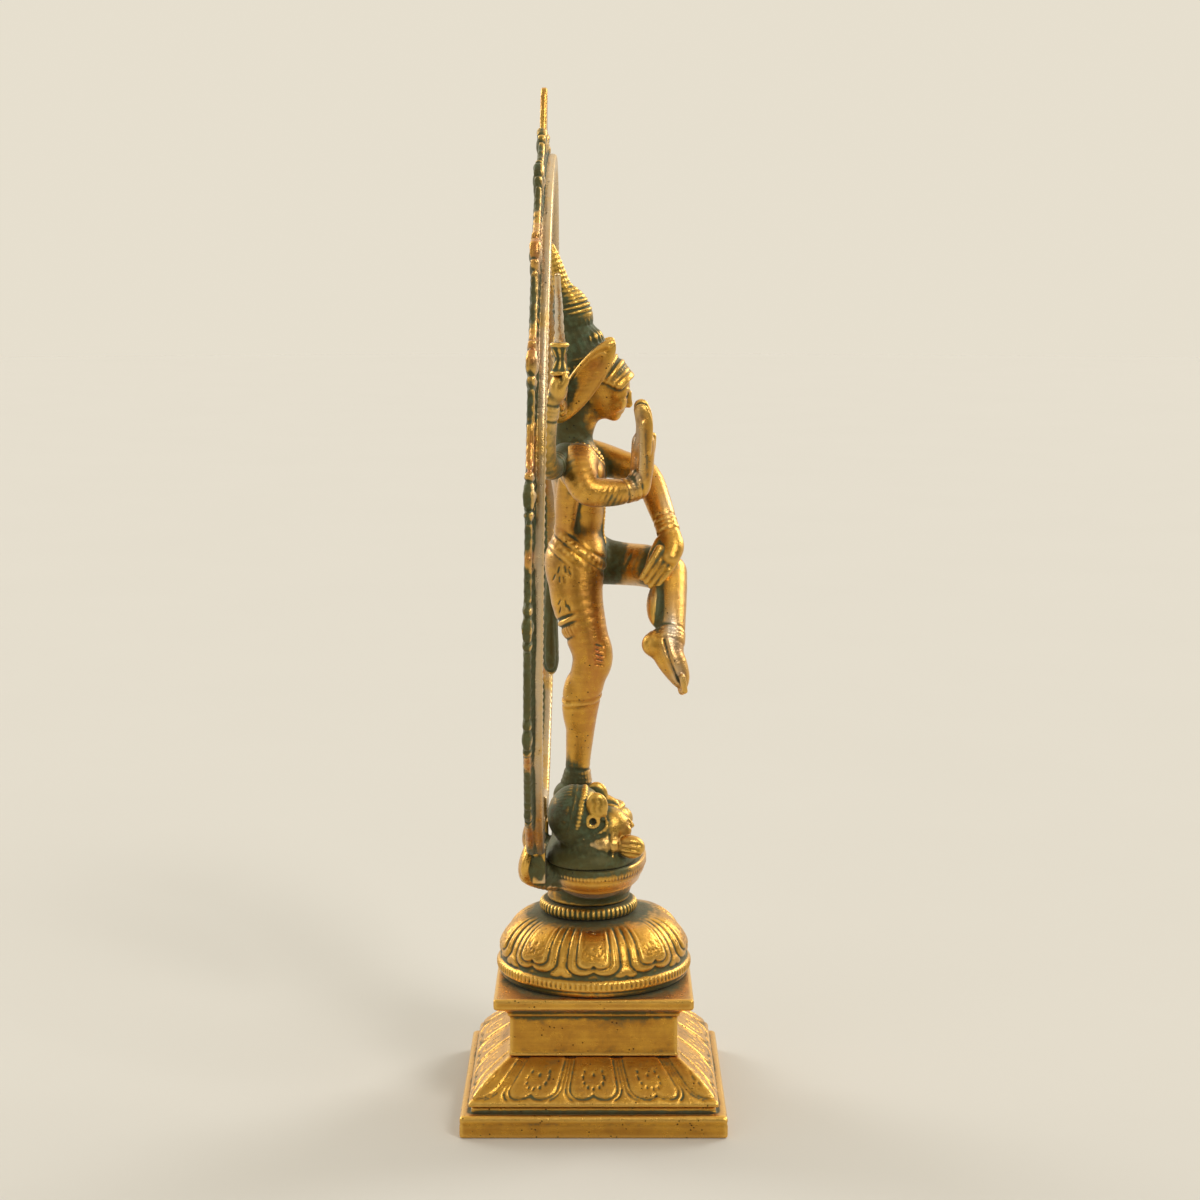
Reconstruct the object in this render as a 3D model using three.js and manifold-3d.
// Brass Nataraja statue: a square stepped pedestal, a lotus dome, a dwarf on a boat-shaped pad, the
// four-armed dancer standing on it, and a ring of flames behind. Millimetres, +Z up. The origin is the
// middle of the base on the surface it stands on. The dancer faces -Y and its own right side is -X.
import * as THREE from 'three';
import { mergeVertices } from 'three/addons/utils/BufferGeometryUtils.js';
import Module from 'manifold-3d';

const wasm = await Module();
wasm.setup();

// Driving dimensions of the pedestal.
const GAP = 0.3;
const SHELL = 4;
const BASE_HALF = 46;
const PLINTH_TOP = 7.8;
const SKIRT_BOTTOM = 9.9;
const SKIRT_TOP = 23.3;
const DADO_HALF = 29.2;
const SLAB_HALF = 34.6;
const SLAB_TOP = 45.5;
const DOME_RADIUS = 34.6;
const DOME_TOP = 68;

// The collar, pad, dancer and ring stand a little forward of the pedestal's middle. Below, their
// places are given before that shift.
const SET_FORWARD = 0.8;
const COLLAR_RADIUS = 17;
const COLLAR_Y = 2.7;
const COLLAR_TOP = 72.6;
const PAD_TOP = 90;

// Tie rod through dome, collar and pad.
const ROD_RADIUS = 2.5;
const ROD_FOOT = 34.5;
const ROD_TOP = 85;
const WASHER_DEPTH = 1.6;
const NUT_DEPTH = 4;

// Ring of flames: an oval about its middle line, standing on two squared feet.
const RING_CENTRE = 212.5;
const RING_HALF_WIDTH = 108;
const RING_HALF_HEIGHT = 118.5;
const RING_LEAN_DEGREES = 1.05;
const RING_BACK_AT_FOOT = 23.9;
const RING_FOOT = 97;
const FOOT_INNER = 14;
const FOOT_OUTER = 27;
const FLANGE_DEPTH = 3.4;
const BAND_DEPTH = 3.1;
const BAND_INNER = -5;
const BAND_OUTER = 2.5;
const FLAME_REACH = 11;
const FLAME_COUNT = 18;
const TOP_FLAME = 356;
const PIN_X = 20.5;
const PIN_RADIUS = 1.5;
const PIN_REACH = 6;

// Facets of the rounded forms.
const BODY_SIDES = 10;
const LIMB_SIDES = 9;
const CAP_REACH = 0.75;
const CAP_NARROWING = 0.62;

const GOLD = 0xc08a2d;
const OLIVE = 0x7a6a2c;
const PATINA = 0x3f5238;
const STEEL = 0x8d9093;

const statue = new THREE.Group();
const upper = new THREE.Group();
upper.position.y = -SET_FORWARD;
statue.add(upper);

// Helpers ------------------------------------------------------------------------------------------

// A solid for joining and cutting, from a closed three.js geometry.
function solid(geometry) {
  const bare = geometry.clone();
  bare.deleteAttribute('normal');
  bare.deleteAttribute('uv');
  const merged = mergeVertices(bare, 1e-4);
  const corners = [];
  for (let i = 0; i < merged.index.count; i += 3) {
    const [a, b, c] = [0, 1, 2].map((k) => merged.index.getX(i + k));
    if (a !== b && b !== c && c !== a) corners.push(a, b, c);
  }
  return new wasm.Manifold(new wasm.Mesh({
    numProp: 3,
    vertProperties: merged.attributes.position.array,
    triVerts: new Uint32Array(corners),
  }));
}

function addPart(group, name, shape, color, roughness = 0.42, metalness = 0.95) {
  const mesh = shape.getMesh();
  const geometry = new THREE.BufferGeometry();
  geometry.setAttribute('position', new THREE.BufferAttribute(mesh.vertProperties, 3));
  geometry.setIndex(new THREE.BufferAttribute(mesh.triVerts, 1));
  geometry.computeVertexNormals();
  const part = new THREE.Mesh(geometry, new THREE.MeshStandardMaterial({ color, roughness, metalness }));
  part.name = name;
  group.add(part);
}

const vector = (point) => new THREE.Vector3(...point);
const join = (shapes) => shapes.reduce((all, next) => all.add(next));
const cutBy = (shape, cutters) => cutters.reduce((left, cutter) => left.subtract(cutter), shape);

function box(low, high) {
  const size = vector(high).sub(vector(low));
  const centre = vector(low).add(vector(high)).multiplyScalar(0.5);
  return solid(new THREE.BoxGeometry(size.x, size.y, size.z).translate(centre.x, centre.y, centre.z));
}

// A profile of [radius, height] pairs turned about the Z axis.
function turned(profile, sides) {
  const points = profile.map(([radius, height]) => new THREE.Vector2(radius, height));
  return solid(new THREE.LatheGeometry(points, sides).rotateX(Math.PI / 2));
}

// The same with a square plan: the profile gives the half width at each height.
function squareTurned(profile) {
  const points = profile.map(([half, height]) => new THREE.Vector2(half * Math.SQRT2, height));
  return solid(new THREE.LatheGeometry(points, 4, Math.PI / 4).rotateX(Math.PI / 2));
}

function ball(centre, radius, stretch = [1, 1, 1], tilt = 0) {
  const geometry = new THREE.SphereGeometry(radius, BODY_SIDES, 6).rotateX(Math.PI / 2);
  geometry.scale(...stretch).rotateX(tilt).translate(...centre);
  return solid(geometry);
}

// A round bar from one point to another, tapering from one radius to the other.
function bar(from, to, fromRadius, toRadius = fromRadius, sides = BODY_SIDES) {
  const along = vector(to).sub(vector(from));
  const geometry = new THREE.CylinderGeometry(toRadius, fromRadius, along.length(), sides);
  const turn = new THREE.Quaternion().setFromUnitVectors(new THREE.Vector3(0, 1, 0), along.clone().normalize());
  const middle = vector(from).addScaledVector(along, 0.5);
  return solid(geometry.applyQuaternion(turn).translate(middle.x, middle.y, middle.z));
}

// A limb: a cylinder bent and tapered through [x, y, z, radius] stations, with blunt rounded ends.
// grow swells it into a cutter that leaves a gap round the limb.
function limb(stations, grow = 0) {
  const centres = stations.map(([x, y, z]) => new THREE.Vector3(x, y, z));
  const radii = stations.map(([, , , radius]) => radius + grow);
  const beyond = (end, inner, reach) => end.clone().addScaledVector(end.clone().sub(inner).normalize(), reach);
  const last = stations.length - 1;
  const headCap = beyond(centres[0], centres[1], radii[0] * CAP_REACH);
  const tailCap = beyond(centres[last], centres[last - 1], radii[last] * CAP_REACH);
  const path = [headCap, ...centres, tailCap];
  const widths = [radii[0] * CAP_NARROWING, ...radii, radii[last] * CAP_NARROWING];
  const levels = path.length - 1;
  const across = new THREE.Vector3(0.31, 0.2, 0.93);
  const frames = path.map((centre, i) => {
    const tangent = path[Math.min(i + 1, levels)].clone().sub(path[Math.max(i - 1, 0)]).normalize();
    across.addScaledVector(tangent, -across.dot(tangent)).normalize();
    return { centre, first: across.clone(), second: tangent.clone().cross(across) };
  });
  const geometry = new THREE.CylinderGeometry(1, 1, levels, LIMB_SIDES, levels);
  const corners = geometry.attributes.position;
  for (let i = 0; i < corners.count; i += 1) {
    const level = Math.round(corners.getY(i) + levels / 2);
    const { centre, first, second } = frames[level];
    const corner = centre.clone().addScaledVector(first, -corners.getX(i) * widths[level])
      .addScaledVector(second, corners.getZ(i) * widths[level]);
    corners.setXYZ(i, corner.x, corner.y, corner.z);
  }
  return solid(geometry);
}

// Pedestal -----------------------------------------------------------------------------------------

function plinthFrame() {
  const neck = BASE_HALF - SHELL;
  const inside = neck - SHELL;
  return squareTurned([
    [inside, 0], [BASE_HALF, 0], [BASE_HALF, PLINTH_TOP - 1.4], [BASE_HALF - 0.5, PLINTH_TOP - 0.4],
    [BASE_HALF - 1.5, PLINTH_TOP], [neck, PLINTH_TOP], [neck, SKIRT_BOTTOM - GAP],
    [inside, SKIRT_BOTTOM - GAP], [inside, 0],
  ]);
}

function petalSkirt() {
  const edge = BASE_HALF - 2.8;
  const lip = edge - SHELL - 1;
  const inside = DADO_HALF - SHELL;
  const bulge = [(edge + DADO_HALF) / 2 + 0.9, (SKIRT_BOTTOM + SKIRT_TOP) / 2 + 0.3];
  return squareTurned([
    [lip, SKIRT_BOTTOM], [edge, SKIRT_BOTTOM], [edge, SKIRT_BOTTOM + 1], bulge,
    [DADO_HALF + 0.4, SKIRT_TOP], [inside, SKIRT_TOP], [inside, SKIRT_TOP - SHELL], [lip, SKIRT_BOTTOM],
  ]);
}

function waistBlock() {
  const foot = SKIRT_TOP + GAP;
  const inside = DADO_HALF - SHELL;
  const ceiling = SLAB_TOP - SHELL;
  const hole = ROD_RADIUS + 1;
  return squareTurned([
    [inside, foot], [DADO_HALF, foot], [DADO_HALF, ceiling - 2.9], [DADO_HALF + 1.4, ceiling - 1.7],
    [DADO_HALF + 1.8, ceiling - 0.9], [SLAB_HALF - 0.4, ceiling - 0.1], [SLAB_HALF, ceiling + 0.5],
    [SLAB_HALF, SLAB_TOP], [hole, SLAB_TOP], [hole, ceiling], [inside, ceiling], [inside, foot],
  ]);
}

function lotusDome() {
  const bore = ROD_RADIUS + GAP;
  const foot = SLAB_TOP + GAP;
  const shoulder = SLAB_TOP + 6.3;
  const reach = DOME_RADIUS - 1.2 - COLLAR_RADIUS;
  const steps = 6;
  const curve = [];
  for (let i = 0; i <= steps; i += 1) {
    const angle = (i / steps) * (Math.PI / 2);
    curve.push([COLLAR_RADIUS + reach * Math.cos(angle), shoulder + (DOME_TOP - shoulder) * Math.sin(angle)]);
  }
  return turned([
    [bore, foot], [DOME_RADIUS - 1.8, foot], [DOME_RADIUS, foot + 1], [DOME_RADIUS, shoulder - 0.6],
    ...curve, [bore, DOME_TOP], [bore, foot],
  ], 32);
}

// Collar, pad and dwarf ----------------------------------------------------------------------------

const rodHole = () => bar([0, SET_FORWARD, DOME_TOP - 5], [0, SET_FORWARD, ROD_TOP + GAP], ROD_RADIUS + GAP);

function neckCollar() {
  const foot = DOME_TOP + GAP;
  const belly = (foot + COLLAR_TOP) / 2;
  const disc = turned([
    [0, foot], [COLLAR_RADIUS - 1.2, foot], [COLLAR_RADIUS, foot + 1.2], [COLLAR_RADIUS + 0.3, belly],
    [COLLAR_RADIUS, COLLAR_TOP - 1.2], [COLLAR_RADIUS - 1.2, COLLAR_TOP], [0, COLLAR_TOP],
  ], 28);
  return disc.translate([0, COLLAR_Y, 0]).subtract(rodHole());
}

const DWARF_MASSES = [
  [[-21, 6.5, 107], 9.6, [0.95, 1, 1]],
  [[-18, -8, 104], 7.6, [0.85, 1, 0.95]],
  [[-9, 2, 94], 12, [1.1, 1.1, 0.9]],
  [[7, 4, 94], 12, [1.25, 1, 0.92]],
  [[20, 4, 93], 8, [1.2, 1, 0.9]],
];
const DWARF_LIMBS = [
  [[-17, -2, 97, 5], [-21, -9, 95, 4], [-19, -14, 95.5, 3.4]],
  [[14, -1, 96, 5.6], [22, -9, 96, 4.4], [28, -4, 93, 3.4]],
  [[14, 8, 96, 5.6], [24, 12, 95, 4.4], [30, 8, 92, 3.4]],
];

function dwarfShape(grow = 0) {
  const masses = DWARF_MASSES.map(([centre, radius, stretch]) => ball(centre, radius + grow, stretch));
  const limbs = DWARF_LIMBS.map((stations) => limb(stations, grow));
  return join([...masses, ...limbs]).subtract(box([-60, -60, 0], [60, 60, PAD_TOP + GAP - grow]));
}

const LUG_TOP = RING_FOOT - GAP;
const PIN_Y = RING_BACK_AT_FOOT - FLANGE_DEPTH - 0.4;
const pinHole = (x) => bar([x, PIN_Y, LUG_TOP - PIN_REACH], [x, PIN_Y, RING_FOOT + PIN_REACH], PIN_RADIUS + GAP);

function dwarfPad() {
  const floor = COLLAR_TOP + GAP;
  const stem = turned([[0, floor], [14.6, floor], [15.4, floor + 2], [15, PAD_TOP - 4], [0, PAD_TOP - 4]], 24)
    .translate([0, COLLAR_Y, 0]);
  const boat = solid(new THREE.SphereGeometry(1, 24, 14).rotateX(Math.PI / 2)
    .scale(32, 17.8, 13).translate(0, 0.8, 87))
    .subtract(box([-60, -60, 0], [60, 60, floor])).subtract(box([-60, -60, PAD_TOP], [60, 60, 120]));
  const lugs = [-PIN_X, PIN_X].map((x) => join([
    box([x - 6, 17.2, 84], [x + 6, RING_BACK_AT_FOOT + 1.2, LUG_TOP]),
    bar([x * 0.8, 10, 82], [x, 21.5, 87], 6.4, 5),
  ]));
  return join([stem, boat, ...lugs]).subtract(join([...[-PIN_X, PIN_X].map(pinHole), rodHole()]));
}

// Dancer -------------------------------------------------------------------------------------------

const SHOULDER = [15, 6, 229];
const HEAD = [0, -2.5, 255];

const STANDING_LEG = [
  [-7.5, 7, 195, 10.3], [-11, 6.6, 182, 9.2], [-15, 2.4, 166, 7], [-14.5, 2.6, 156, 6.4],
  [-11, 5, 140, 5.4], [-7, 6.4, 126, 4.7], [-6, 7, 118, 5],
];
const STANDING_FOOT = [[-6, 8.5, 112.5, 4.8], [-7.5, 1, 110, 4], [-9, -6, 107.5, 3]];
const RAISED_LEG = [
  [8.5, 5, 194, 10], [1, -10, 194, 8.4], [-9, -22.5, 193, 7.4], [-20, -24.5, 184, 6],
  [-29, -24.5, 176, 5.2], [-33, -24, 171, 4.8],
];
const RAISED_FOOT = [[-34, -20.5, 170.5, 4.8], [-36, -24.5, 163, 4.2], [-37.5, -29, 154.5, 3.2]];
const RIGHT_ARM = [[-15, 6, 229, 7.4], [-26.5, 3.5, 221, 5.4], [-20.5, -11, 220.5, 4.2], [-18.5, -14.6, 222, 4.2]];
const LEFT_ARM = [
  [15, 6, 229, 7.4], [9, -7, 226.5, 5.4], [3, -17.5, 223, 5], [-7, -22, 213, 4.4], [-13.5, -25, 205, 3.8],
];
const LEFT_HAND = [[-13.5, -25, 205, 3.8], [-17.5, -26.5, 198, 4.8], [-19, -22.5, 191, 4.2], [-18, -17.5, 186.5, 3]];
const REAR_ARM = [[13, 10.5, 231, 4.8], [31, 15.5, 229, 3.9], [39.5, 16.5, 238, 3.4], [44, 14.2, 252.5, 2.8]];
const CROWN_PROFILE = [
  [0, 0], [9.8, 1], [10.4, 3.4], [8.8, 6.5], [7.8, 10], [6.5, 13.5], [6.4, 17], [6.7, 20.5], [4.8, 24], [0, 26],
];
const CROWN_LEAN = THREE.MathUtils.degToRad(-12.5);
const FINIAL = [[0, 9.6, 282, 3.2], [0, 12.6, 289, 2.5], [0, 14.5, 297, 1.7], [0, 15.8, 302, 1.1]];
const TORSO_MASSES = [
  [[0, 6, 196], 11.5, [1.25, 0.92, 0.85]],
  [[0, 5.5, 206], 10, [1.15, 0.82, 1]],
  [[0, 6, 221], 12, [1.3, 0.78, 1.05]],
];

function figureShape(grow = 0) {
  const masses = TORSO_MASSES.map(([centre, radius, stretch]) => ball(centre, radius + grow, stretch));
  const [x, y, z] = SHOULDER;
  const shoulders = limb([[-x, y, z, 6], [x, y, z, 6]], grow);
  const neck = limb([[0, 7, 231, 6], [0, 6, 240, 5.2], [0, 2.5, 248, 5.2]], grow);
  const head = ball(HEAD, 10.4 + grow, [0.86, 0.97, 1.12]);
  return join([...masses, shoulders, neck, head, limb(STANDING_LEG, grow), limb(STANDING_FOOT, grow)]);
}

// A raised hand, flattened front to back, between the wrist and the fingertips.
function rightHand(grow = 0) {
  const geometry = new THREE.CylinderGeometry(0.7, 0.9, 1, BODY_SIDES, 1);
  const low = 218;
  const high = 250.5;
  geometry.rotateX(Math.PI / 2).scale(5.6 + grow, 4.2 + grow, high - low + 2 * grow);
  return solid(geometry.translate(-17.5, -16.2, (low + high) / 2));
}

const legShape = (grow = 0) => join([limb(RAISED_LEG, grow), limb(RAISED_FOOT, grow)]);
const leftArmShape = (grow = 0) => join([limb(LEFT_ARM, grow), limb(LEFT_HAND, grow)]);
const rightArmShape = (grow = 0) => join([limb(RIGHT_ARM, grow), rightHand(grow)]);

function crownShape(grow = 0) {
  const last = CROWN_PROFILE.length - 1;
  const points = CROWN_PROFILE.map(([radius, height], i) => {
    const outward = { 0: -grow, [last]: grow }[i] ?? 0;
    return new THREE.Vector2(radius === 0 ? 0 : radius + grow, height + outward);
  });
  const cone = new THREE.LatheGeometry(points, 18).rotateX(Math.PI / 2).rotateX(CROWN_LEAN);
  return join([solid(cone.translate(0, 3.8, 260.5)), limb(FINIAL, grow)]);
}

// A leaf-shaped plate standing beside the head, seen full face from the side.
function hairWing(side, grow = 0) {
  const leaf = new THREE.SphereGeometry(1, 14, 8).scale(2.2 + grow, 6.4 + grow, 16.5 + grow);
  leaf.rotateX(THREE.MathUtils.degToRad(36)).rotateZ(side * 0.12).translate(side * 11.2, 3.2, 256.3);
  return solid(leaf);
}

const rearHand = (side, grow) => ball([side * 44.5, 12.2, 256.5], 4 + grow, [1, 0.78, 1.15]);

function rearArmShape(side, grow = 0) {
  const stations = REAR_ARM.map(([x, y, z, radius]) => [side * x, y, z, radius]);
  return join([limb(stations, grow), rearHand(side, grow)]);
}

function handDrum(grow = 0) {
  const profile = [[0, -5.5], [3.3, -5.5], [3.2, -4.6], [1.5, 0], [3.2, 4.6], [3.3, 5.5], [0, 5.5]];
  const points = profile.map(([radius, height]) => (
    new THREE.Vector2(radius && radius + grow, height + Math.sign(height) * grow)));
  return solid(new THREE.LatheGeometry(points, 14).rotateX(Math.PI / 2).translate(-44.8, 11.8, 265.8));
}

function flameBowl(grow = 0) {
  const profile = [[0, 0], [4.2, 1.4], [5, 4.6], [3.8, 6.6], [3.6, 9], [2.2, 14], [0, 19]];
  const points = profile.map(([radius, height]) => new THREE.Vector2(radius && radius + grow, height));
  return solid(new THREE.LatheGeometry(points, 12).rotateX(Math.PI / 2).translate(45, 11.8, 260));
}

// Three wavy locks that fan out from behind the head towards the ring.
function hairLocks(side) {
  const starts = [[15.5, 12, 264], [15.5, 12, 256], [15.5, 12, 248]];
  const ends = [[66, 12, 293], [35, 12, 269], [33, 12, 252]];
  const radius = 1.8;
  const waves = 4;
  const section = new THREE.Shape();
  section.absarc(0, 0, radius, 0, Math.PI * 2);
  const locks = starts.map((start, k) => {
    const route = [];
    for (let i = 0; i <= waves; i += 1) {
      const point = vector(start).lerp(vector(ends[k]), i / waves);
      route.push(new THREE.Vector3(side * point.x, point.y, point.z + (i % 2 ? radius : 0)));
    }
    const extrudePath = new THREE.CatmullRomCurve3(route);
    return solid(new THREE.ExtrudeGeometry(section, { curveSegments: 3, steps: 2 * waves, extrudePath }));
  });
  return join([...locks, bar([side * 15.5, 12, 266], [side * 15.5, 12, 246], radius + 0.6)]);
}

function waistSash() {
  const tail = new THREE.Shape();
  tail.moveTo(-3, 197);
  tail.lineTo(-6, 156);
  tail.quadraticCurveTo(0, 151, 6, 156);
  tail.lineTo(3, 197);
  tail.closePath();
  const cloth = new THREE.ExtrudeGeometry(tail, { depth: 5.5, bevelEnabled: false, curveSegments: 4 });
  return solid(cloth.rotateX(Math.PI / 2).translate(9, 18.6, 0));
}

// Ring of flames -----------------------------------------------------------------------------------

const footAngle = Math.asin(FOOT_OUTER / (RING_HALF_WIDTH + BAND_OUTER));

// A point on the ring's oval, offset outwards, at an angle measured from the foot round to the top.
function ringPoint(angle, offset) {
  return new THREE.Vector2((RING_HALF_WIDTH + offset) * Math.sin(angle),
    RING_CENTRE - (RING_HALF_HEIGHT + offset) * Math.cos(angle));
}

// The ring's outline, whose outer edge is given by a function of the way round from 0 to 1.
function ringOutline(outerEdge, steps) {
  const span = 2 * Math.PI - 2 * footAngle;
  const innerSteps = 48;
  const outline = [];
  for (let i = 0; i <= steps; i += 1) outline.push(ringPoint(footAngle + (span * i) / steps, outerEdge(i / steps)));
  for (let i = innerSteps; i >= 0; i -= 1) {
    outline.push(ringPoint(footAngle + (span * i) / innerSteps, BAND_INNER));
  }
  return new THREE.Shape(outline);
}

// Each flame swells from the band, and a low knob stands between it and the next. The flames start
// low beside the feet and reach their full height by the fourth.
function flameEdge(way) {
  const phase = (way * FLAME_COUNT) % 1;
  const growth = Math.min(1, (Math.min(way, 1 - way) * FLAME_COUNT) / 4);
  const flame = Math.sin(Math.PI * phase) ** 1.5;
  const knob = 1.5 * Math.cos(Math.PI * 4 * phase) * (1 - flame);
  return BAND_OUTER + growth * (2 + (FLAME_REACH - BAND_OUTER - 2) * flame + knob);
}

// An outline in the XZ plane, given a depth from one Y to a lower one.
function slab(outline, back, front) {
  const geometry = new THREE.ExtrudeGeometry(outline, { depth: back - front, bevelEnabled: false, curveSegments: 5 });
  return solid(geometry.rotateX(Math.PI / 2).translate(0, back, 0));
}

function flameRing() {
  const front = -FLANGE_DEPTH - BAND_DEPTH;
  const flange = slab(ringOutline(flameEdge, FLAME_COUNT * 6), 0, -FLANGE_DEPTH);
  const band = slab(ringOutline(() => BAND_OUTER, 48), -FLANGE_DEPTH / 2, front);
  const crest = RING_CENTRE + RING_HALF_HEIGHT + BAND_OUTER;
  const tip = new THREE.Shape();
  tip.moveTo(-9, crest);
  tip.quadraticCurveTo(-8, crest + 12, -1.5, TOP_FLAME);
  tip.lineTo(1.5, TOP_FLAME);
  tip.quadraticCurveTo(8, crest + 12, 9, crest);
  tip.closePath();
  const bandAtFoot = ringPoint(footAngle, BAND_OUTER).y;
  const feet = [-1, 1].map((side) => {
    const [low, high] = [side * FOOT_INNER, side * FOOT_OUTER].sort((a, b) => a - b);
    return box([low, front, RING_FOOT - 4], [high, 0, bandAtFoot + 4]);
  });
  return join([flange, band, slab(tip, 0, -FLANGE_DEPTH), ...feet])
    .translate([0, 0, -RING_FOOT]).rotate([RING_LEAN_DEGREES, 0, 0]).translate([0, RING_BACK_AT_FOOT, RING_FOOT])
    .subtract(box([-200, -50, 0], [200, 80, RING_FOOT])).subtract(join([-PIN_X, PIN_X].map(pinHole)));
}

// Tie hardware -------------------------------------------------------------------------------------

const WASHER_TOP = SLAB_TOP - SHELL - GAP;
const NUT_TOP = WASHER_TOP - WASHER_DEPTH - GAP;

function sleeve(radius, low, high, sides) {
  const bore = bar([0, 0, low - 1], [0, 0, high + 1], ROD_RADIUS + GAP);
  return bar([0, 0, low], [0, 0, high], radius, radius, sides).subtract(bore);
}

// Assembly -----------------------------------------------------------------------------------------

addPart(statue, 'plinth_frame', plinthFrame(), GOLD);
addPart(statue, 'petal_skirt', petalSkirt(), GOLD);
addPart(statue, 'waist_block', waistBlock(), GOLD);
addPart(statue, 'lotus_dome', lotusDome(), GOLD);
addPart(upper, 'neck_collar', neckCollar(), OLIVE);
addPart(upper, 'dwarf_pad', dwarfPad(), GOLD);

const bodyCut = figureShape(GAP);
const legCut = legShape(GAP);
const crownCut = crownShape(GAP);
addPart(upper, 'dwarf', dwarfShape().subtract(bodyCut), PATINA);
addPart(upper, 'figure_body', cutBy(figureShape(), [legCut, crownCut]), GOLD);
addPart(upper, 'raised_leg', legShape(), GOLD);
addPart(upper, 'crown', crownShape(), PATINA);
addPart(upper, 'front_right_arm', rightArmShape().subtract(bodyCut), GOLD);
addPart(upper, 'front_left_arm', cutBy(leftArmShape(), [bodyCut, legCut, rightArmShape(GAP)]), GOLD);
addPart(upper, 'hand_drum', handDrum(), GOLD);
addPart(upper, 'flame_bowl', flameBowl(), GOLD);
addPart(upper, 'waist_sash', cutBy(waistSash(), [bodyCut, legCut]), PATINA);
addPart(upper, 'flame_ring', flameRing(), OLIVE);

for (const [name, side] of [['right', -1], ['left', 1]]) {
  const frontArmCut = side < 0 ? rightArmShape(GAP) : leftArmShape(GAP);
  const heldCut = side < 0 ? handDrum(GAP) : flameBowl(GAP);
  const wingCut = hairWing(side, GAP);
  const armCut = rearArmShape(side, GAP);
  addPart(upper, `rear_${name}_arm`, cutBy(rearArmShape(side), [bodyCut, frontArmCut, heldCut]), OLIVE);
  addPart(upper, `hair_wing_${name}`, cutBy(hairWing(side), [bodyCut, crownCut]), GOLD);
  const locks = cutBy(hairLocks(side), [bodyCut, crownCut, wingCut, armCut, heldCut]);
  addPart(upper, `hair_locks_${name}`, locks, OLIVE);
  const pin = bar([side * PIN_X, PIN_Y, LUG_TOP - PIN_REACH + GAP],
    [side * PIN_X, PIN_Y, RING_FOOT + PIN_REACH - GAP], PIN_RADIUS);
  addPart(upper, `ring_pin_${name}`, pin, GOLD);
}
addPart(statue, 'tie_rod', bar([0, 0, ROD_FOOT], [0, 0, ROD_TOP], ROD_RADIUS), STEEL, 0.35, 1);
addPart(statue, 'tie_washer', sleeve(9, WASHER_TOP - WASHER_DEPTH, WASHER_TOP, 20), STEEL, 0.35, 1);
addPart(statue, 'tie_nut', sleeve(4.8, NUT_TOP - NUT_DEPTH, NUT_TOP, 6), STEEL, 0.35, 1);

export default statue;
